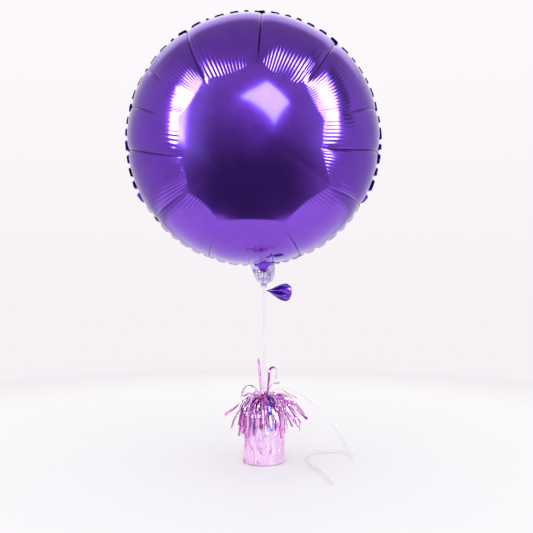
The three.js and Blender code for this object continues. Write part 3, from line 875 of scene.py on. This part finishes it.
def makeWrap():
    outline = np.array(wrap["outline"], float)
    stretch = np.concatenate([[0], np.cumsum(np.linalg.norm(np.diff(outline, axis=0), axis=1))])
    along = np.linspace(0.3, stretch[-1], 150)
    r = np.interp(along, stretch, outline[:, 0])
    z = np.interp(along, stretch, outline[:, 1])
    fold = np.interp(along, stretch, wrap["pleatHeights"])
    columns = 420
    angle = np.arange(columns) / columns * 2 * math.pi
    tangent = unit(np.gradient(np.stack([r, z], axis=1), axis=0))
    turns = angle[None, :] / (2 * math.pi) + 0 * r[:, None]
    level = along[:, None] + 0 * angle
    swing = wrap["swing"] * valueNoise(turns * 16, level / 26, 61, 16)
    pleat = np.abs(((angle * wrap["pleats"] / (2 * math.pi))[None, :] + swing) % 1 - 0.5) * 2
    crumple = foldNoise(turns * 18, level / wrap["cell"], 63, 18)
    waver = 0.3 * np.sin(level / 9)
    crease = np.abs(valueNoise(turns * wrap["creases"] + waver, level / 30, 69, wrap["creases"]))
    bulge = wrap["bulge"] * valueNoise(turns * 6, level / 24, 65, 6)
    calm = smoothStep(2, 12, r)[:, None] * smoothStep(0.5, 5, z + 0.35 * r - 9)[:, None]
    sharp = np.exp(-(crease / wrap["creaseWidth"]) ** 2)
    pleated = fold[:, None] * (pleat - 0.6) + wrap["crumple"] * (crumple - 0.6)
    push = (pleated - wrap["creaseDepth"] * sharp + bulge) * calm
    patches = smoothStep(-0.5, 0.4, valueNoise(turns * 9, level / 10, 67, 9))
    shade = wrap["shade"] * np.exp(-(crease / wrap["shadeWidth"]) ** 2) * patches
    radial = r[:, None] + push * tangent[:, 1:2]
    points = np.stack([
        radial * np.cos(angle), radial * np.sin(angle),
        np.maximum(z[:, None] - push * tangent[:, 0:1], 0.05)], axis=2).reshape(-1, 3)
    hub = len(points)
    faces = gridFaces(len(r), columns, True) + [[i, (i + 1) % columns, hub] for i in range(columns)]
    piece = makePiece("foilWrap", np.vstack([points, [[0, 0, 0.2]]]), faces, [wrapMaterial],
                      "weight", ["foil_wrap"])
    shadePoints(piece, "creaseShade", np.append(shade, 0))


gatherTie = {"turns": 4.3, "width": 1.6, "thickness": 0.5, "inset": 0.3, "margin": 0.8, "uneven": 0.2,
             "pace": 1, "bulging": 0, "steps": 240, "shade": 0.35}


def makeGatherTie():
    points, faces = windTurns("gather_tie", gatherTie, 71)
    piece = makePiece("gatherTie", points, faces, [wrapMaterial], "weight", ["gather_tie"])
    shadePoints(piece, "creaseShade", np.full(len(points), gatherTie["shade"]))


makeWrap()
makeGatherTie()

print("tinsel")
tinsel = {
    "width": 3.2,
    "widths": (1.0, 1.25),  # how many times that a strip is wide
    "thickness": 0.12,
    "cup": 0.12,
    "rootRadius": 5.6,
    "rootHeight": 85.0,
    "tierRise": 1.4,
    "offWrap": 2.2,  # mm, the least distance of a strip's middle from the wrap's outline
    "freeAbove": 84,  # and the height above which it doesn't count
    "shares": [0.4, 0.32, 0.2, 0.08],  # how often each of the tinsel's materials comes
    "sway": (-12, 12),
    "twist": (-110, 110),
    "kinks": (5, 14),
}
# Tiers, lowest first: count, launch and finish angle, length and the first one's azimuth.
tiers = [(10, -14, -90, 65, 10), (9, -2, -88, 64, 30), (8, 12, -82, 62, 4), (4, 34, -58, 50, 26)]
tierBend = (0.08, 0.62)
# Strips on this side stand out further: its azimuth, and what launch and finish gain there.
splay = {"azimuth": -18, "launch": 9, "finish": 34}
standing = [
    (222, 86, 80, 52, (0, 1)), (38, 86, -95, 62, (0.45, 0.92)), (304, 58, 6, 44, (0.1, 0.8)),
    (172, 62, -88, 46, (0.15, 0.85)),
]
# Strips of the fill: those that hang, those that stand in a tuft, and what both have.
hanging = {"count": 78, "launch": (-24, 6), "finish": (-96, -84), "length": (44, 66), "splay": (12, 55)}
tuft = {"count": 16, "launch": (25, 75), "finish": (-60, 10), "length": (16, 28)}
fill = {"bendEnd": (0.5, 0.7), "rise": (-0.5, 5), "sway": (-22, 22), "twist": (-140, 140), "kinks": (6, 18),
        "widths": (2.8, 4.0), "shares": [0.36, 0.32, 0.22, 0.1]}
# A few that stand off on their own: azimuth, launch and finish angle, and length.
strays = [(196, 16, -36, 58), (208, 0, -62, 66), (226, -6, -84, 78), (330, 6, -44, 56), (346, 14, -20, 44)]


def splayAt(azimuth):
    return max(0.0, math.cos(math.radians(azimuth - splay["azimuth"])))


# A strip's middle line and the way its width lies. It leaves the gather at the launch angle, bends over to
# the finish angle, sways to one side and twists.
def stripLine(azimuth, launch, finish, length, bend, rootHeight, sway, twist, kinks, seed):
    steps = 36
    t = (np.arange(steps) + 0.5) / steps
    bent = smoothStep(bend[0], bend[1], t)
    angle = np.radians(launch + (finish - launch) * bent + kinks * valueNoise(t * 7, 0 * t, seed))
    heading = np.radians(azimuth + sway * t ** 1.5 + kinks * 0.6 * valueNoise(t * 6, 0 * t + 3, seed + 1))
    step = length / steps
    level = np.cos(angle)
    moves = np.stack([np.cos(heading) * level, np.sin(heading) * level, np.sin(angle)], axis=1) * step
    outward = np.array([math.cos(math.radians(azimuth)), math.sin(math.radians(azimuth)), 0])
    root = outward * tinsel["rootRadius"] + [0, 0, rootHeight]
    route = offTheWrap(np.vstack([root, root + np.cumsum(moves, axis=0)]))
    tangent = unit(np.gradient(route, axis=0))
    headings = np.concatenate([heading[:1], heading])
    sideways = np.stack([-np.sin(headings), np.cos(headings), 0 * headings], axis=1)
    normal = np.cross(tangent, sideways)
    spin = np.radians(twist * np.linspace(0, 1, steps + 1) ** 1.2)[:, None]
    return route, sideways * np.cos(spin) + normal * np.sin(spin)


# Pushes a strip out where it would pass through the wrap.
def offTheWrap(route):
    outline = np.array(wrap["outline"], float)
    heights, radii = outline[2:, 1], outline[2:, 0]
    reach = np.hypot(route[:, 0], route[:, 1])
    least = np.interp(route[:, 2], heights, radii, right=0) + tinsel["offWrap"]
    least = np.where(route[:, 2] > tinsel["freeAbove"], 0, least)
    grow = np.maximum(least / np.maximum(reach, 0.1), 1)
    return route * np.stack([grow, grow, 0 * grow + 1], axis=1)


# How much a strip sways, twists and kinks, drawn in that order.
def drawShape(random, p):
    return [random.uniform(*p[key]) for key in ("sway", "twist", "kinks")]


def stripMesh(line, width, first=0):
    route, across = line
    return bandMesh(route, across, width, tinsel["thickness"], first, tinsel["cup"])


def makeTinsel():
    random = np.random.RandomState(83)
    strips = []
    for level, (count, launch, finish, length, turn) in enumerate(tiers):
        for i in range(count):
            azimuth = turn + 360 / count * i
            side = splayAt(azimuth)
            strips.append((azimuth, launch + splay["launch"] * side, finish + splay["finish"] * side,
                           length + 3 * math.sin(2.4 * i + level), tierBend,
                           tinsel["rootHeight"] + tinsel["tierRise"] * level))
    for strip in standing:
        strips.append((*strip, tinsel["rootHeight"] + tinsel["tierRise"] * len(tiers)))
    for number, strip in enumerate(strips, 1):
        line = stripLine(*strip, *drawShape(random, tinsel), 100 + number)
        points, faces = stripMesh(line, tinsel["width"] * random.uniform(*tinsel["widths"]))
        material = tinselMaterials[random.choice(4, p=tinsel["shares"])]
        node = f"tinsel_strip_{number:02d}"
        makePiece(f"tinselStrip{number:02d}", points, faces, [material], "weight", [node])


# Strips between the others fill the pompom out: most hang over the wrap's shoulder and some stand in a tuft.
def makeTinselFill():
    random = np.random.RandomState(97)
    points, faces, paint = [], [], []
    strips = list(strays)
    for i in range(hanging["count"] + tuft["count"]):
        azimuth = i * 137.5  # degrees, a turn that spreads them evenly
        kind = hanging if i < hanging["count"] else tuft
        launch, finish, length = [random.uniform(*kind[key]) for key in ("launch", "finish", "length")]
        if kind is hanging:
            side = splayAt(azimuth)
            launch += kind["splay"][0] * side
            finish += random.uniform(0, kind["splay"][1]) * side
        strips.append((azimuth, launch, finish, length))
    for i, strip in enumerate(strips):
        bend = (0.05, random.uniform(*fill["bendEnd"]))
        rootHeight = tinsel["rootHeight"] + random.uniform(*fill["rise"])
        line = stripLine(*strip, bend, rootHeight, *drawShape(random, fill), 200 + i)
        width = random.uniform(*fill["widths"])
        stripPoints, stripFaces = stripMesh(line, width, sum(len(p) for p in points))
        points.append(stripPoints)
        faces += stripFaces
        paint += [int(random.choice(4, p=fill["shares"]))] * len(stripFaces)
    makePiece("tinselFill", np.vstack(points), faces, tinselMaterials, "weight", (), paint)


makeTinsel()
makeTinselFill()

print("studio")
studio = {
    "wallLow": "#F6F1F5",
    "wallHigh": "#FDF9FD",
    "wallHeights": (-0.05, 0.34),  # a height here is a sine of the angle above the horizon
    "floor": "#F1F2EF",
    "floorNear": 0.55,  # metres from the weight where the floor begins to fade into the wall
    "floorFar": 1.0,
    "unlitMiddle": (0, -1.02, 0),  # the front of the floor is unlit, within so many metres of here
    "unlitNear": 0.42,
    "unlitFar": 0.56,
    "dome": 1.25,
    "domeColour": "#FAF7FA",
    "ceiling": 0.68,  # the ceiling's brightness over the walls'
    "ceilingHeights": (0.45, 0.85),
    "cove": 1.6,  # the same for the lit cove where the ceiling meets the wall behind
    "coveHeights": (0.3, 0.6),
    "covePlaces": (0.7, 0.84),  # how far it is from the room's dark end, which is 0, to the wall behind, 1
    "darkEnd": (-0.02, -1.0, -0.3),  # the way to the middle of the dark end of the room
}
# Each panel round the camera: the way to it from the balloon and half its width and height, in degrees, its
# roll, its brightness, the share of it over which its edge fades, and how much it hides what is behind.
# The spills are walls lit by the softboxes, and the flag is a dark board.
panels = {
    "softboxLeft": dict(azimuth=-41, elevation=20, half=(12, 19), roll=0, glow=16, fade=0.3, cover=1),
    "softboxRight": dict(azimuth=44, elevation=23, half=(12, 24), roll=0, glow=13, fade=0.3, cover=1),
    "softboxTop": dict(azimuth=4, elevation=18.5, half=(6, 6), roll=45, glow=6.8, fade=0.2, cover=1),
    "spillLeft": dict(azimuth=-32, elevation=16, half=(20, 28), roll=0, glow=1.2, fade=1, cover=0.6),
    "spillRight": dict(azimuth=36, elevation=20, half=(20, 28), roll=0, glow=1.0, fade=1, cover=0.5),
    "flagRight": dict(azimuth=69, elevation=34, half=(11, 26), roll=0, glow=0.2, fade=0.7, cover=0.8),
}
panelDistance = 3.0
panelTint = "#C6FFE0"  # cool, so that bright highlights in purple lacquer stay lilac rather than pink
# Brightness of the room against the share of the way from its dark end to the white wall behind.
roomTones = [
    (0.0, "#575360"), (0.012, "#5A5662"), (0.026, "#625E6A"), (0.045, "#7E7986"), (0.068, "#A09AA8"),
    (0.09, "#B4AEBB"), (0.15, "#C6C0CD"), (0.5, "#CBC5D2"), (0.75, "#C2BCC9"), (0.93, "#D6D0DB"),
    (1.0, "#F1EDF4"),
]


# A flat rectangle round its own origin, given by half its width and height in metres.
def makePlane(name, halfX, halfY, material):
    mesh = bpy.data.meshes.new(name)
    mesh.from_pydata([(-halfX, -halfY, 0), (halfX, -halfY, 0), (halfX, halfY, 0), (-halfX, halfY, 0)],
                     [], [(0, 1, 2, 3)])
    mesh.materials.append(material)
    plane = bpy.data.objects.new(name, mesh)
    bpy.context.scene.collection.objects.link(plane)
    return plane


def makeFloor():
    material, tree, place = newMaterial("paintedFloor")
    distance = addNode(tree, "VectorMath", {"Vector": place}, operation="LENGTH").outputs["Value"]
    fade = addNode(tree, "MapRange", {"Value": distance, "From Min": studio["floorNear"],
                                      "From Max": studio["floorFar"]}, interpolation_type="SMOOTHSTEP")
    away = addNode(tree, "VectorMath", {0: place, 1: studio["unlitMiddle"]}, operation="DISTANCE")
    unlit = addNode(tree, "MapRange", {"Value": away.outputs["Value"], "From Min": studio["unlitFar"],
                                       "From Max": studio["unlitNear"]}, interpolation_type="SMOOTHSTEP")
    fade = addNode(tree, "Math", {0: fade, 1: unlit}, operation="MAXIMUM")
    paint = addNode(tree, "BsdfPrincipled", {"Base Color": linear(studio["floor"]), "Roughness": 0.6})
    setSurface(tree, "MixShader", {"Fac": fade, 1: paint, 2: addNode(tree, "BsdfTransparent")})
    floor = makePlane("floor", studio["floorFar"], studio["floorFar"], material)


# The room: a pale wall all round to look at, an even dome to light by, and for reflections a dark end where
# the camera stands, brightening to the white wall at the back.
def makeRoom():
    world = bpy.data.worlds.new("studio")
    bpy.context.scene.world = world
    world.use_nodes = True
    tree = world.node_tree
    tree.nodes.clear()
    toward = addNode(tree, "TexCoord").outputs["Generated"]
    height = addNode(tree, "SeparateXYZ", {"Vector": toward}).outputs["Z"]
    low, high = studio["wallHeights"]
    climb = addNode(tree, "MapRange", {"Value": height, "From Min": low, "From Max": high})
    wall = addNode(tree, "ValToRGB", {"Fac": climb}, [(0.0, studio["wallLow"]), (1.0, studio["wallHigh"])])
    darkEnd = Vector(studio["darkEnd"]).normalized()
    alike = addNode(tree, "VectorMath", {0: toward, 1: darkEnd}, operation="DOT_PRODUCT").outputs["Value"]
    backness = addNode(tree, "MapRange", {"Value": alike, "From Min": 1.0, "From Max": -1.0})
    room = addNode(tree, "ValToRGB", {"Fac": backness}, roomTones)
    low, high = studio["ceilingHeights"]
    ceiling = addNode(tree, "MapRange", {"Value": height, "From Min": low, "From Max": high, "To Min": 1.0,
                                         "To Max": studio["ceiling"]}, interpolation_type="SMOOTHSTEP")
    low, high = studio["coveHeights"]
    upward = addNode(tree, "MapRange", {"Value": height, "From Min": low, "From Max": high})
    low, high = studio["covePlaces"]
    behind = addNode(tree, "MapRange", {"Value": backness, "From Min": low, "From Max": high,
                                        "To Max": studio["cove"]})
    cove = addNode(tree, "Math", {0: upward, 1: behind}, operation="MULTIPLY")
    bright = addNode(tree, "Math", {0: ceiling, 1: cove}, operation="MAXIMUM")
    seen = addNode(tree, "Background", {"Color": wall, "Strength": 1.0})
    dome = addNode(tree, "Background", {"Color": linear(studio["domeColour"]), "Strength": studio["dome"]})
    mirrored = addNode(tree, "Background", {"Color": room, "Strength": bright})
    path = addNode(tree, "LightPath")
    mixed = addNode(tree, "MixShader", {"Fac": path.outputs["Is Diffuse Ray"], 1: mirrored, 2: dome})
    mixed = addNode(tree, "MixShader", {"Fac": path.outputs["Is Camera Ray"], 1: mixed, 2: seen})
    addNode(tree, "OutputWorld", {"Surface": mixed})


# A panel whose edges fade into what lies behind it.
def makePanelMaterial(name, glow, fade, cover):
    material, tree, place = newMaterial(name, "Generated")
    offset = addNode(tree, "VectorMath", {0: place, 1: (0.5, 0.5, 0)}, operation="SUBTRACT")
    offset = addNode(tree, "VectorMath", {0: offset}, operation="ABSOLUTE")
    sides = addNode(tree, "SeparateXYZ", {"Vector": offset})
    nearEdge = addNode(tree, "Math", {0: sides.outputs["X"], 1: sides.outputs["Y"]}, operation="MAXIMUM")
    shown = addNode(tree, "MapRange", {"Value": nearEdge, "From Min": 0.5 - fade / 2,
                                       "From Max": 0.5, "To Min": cover, "To Max": 0.0},
                    interpolation_type="SMOOTHSTEP")
    lit = addNode(tree, "Emission", {"Color": linear(panelTint), "Strength": glow})
    setSurface(tree, "MixShader", {"Fac": shown, 1: addNode(tree, "BsdfTransparent"), 2: lit})
    return material


def makePanels():
    low, high = boxOf("front_film_panel")
    target = Vector(((low + high) / 2 * mm).tolist())
    target.y = 0
    for name, p in panels.items():
        azimuth, elevation = math.radians(p["azimuth"]), math.radians(p["elevation"])
        toward = Vector((math.sin(azimuth) * math.cos(elevation), -math.cos(azimuth) * math.cos(elevation),
                         math.sin(elevation)))
        halfX, halfY = (panelDistance * math.tan(math.radians(half)) for half in p["half"])
        panel = makePlane(name, halfX, halfY, makePanelMaterial(name, p["glow"], p["fade"], p["cover"]))
        panel.location = target + toward * panelDistance
        panel.rotation_euler = toward.to_track_quat("Z", "Y").to_euler()
        panel.rotation_euler.rotate_axis("Z", math.radians(p["roll"]))
        panel.visible_camera = False
        panel.visible_diffuse = False  # the even dome lights the matt surfaces
        panel.visible_shadow = False


makeFloor()
makeRoom()
makePanels()

print("finish")
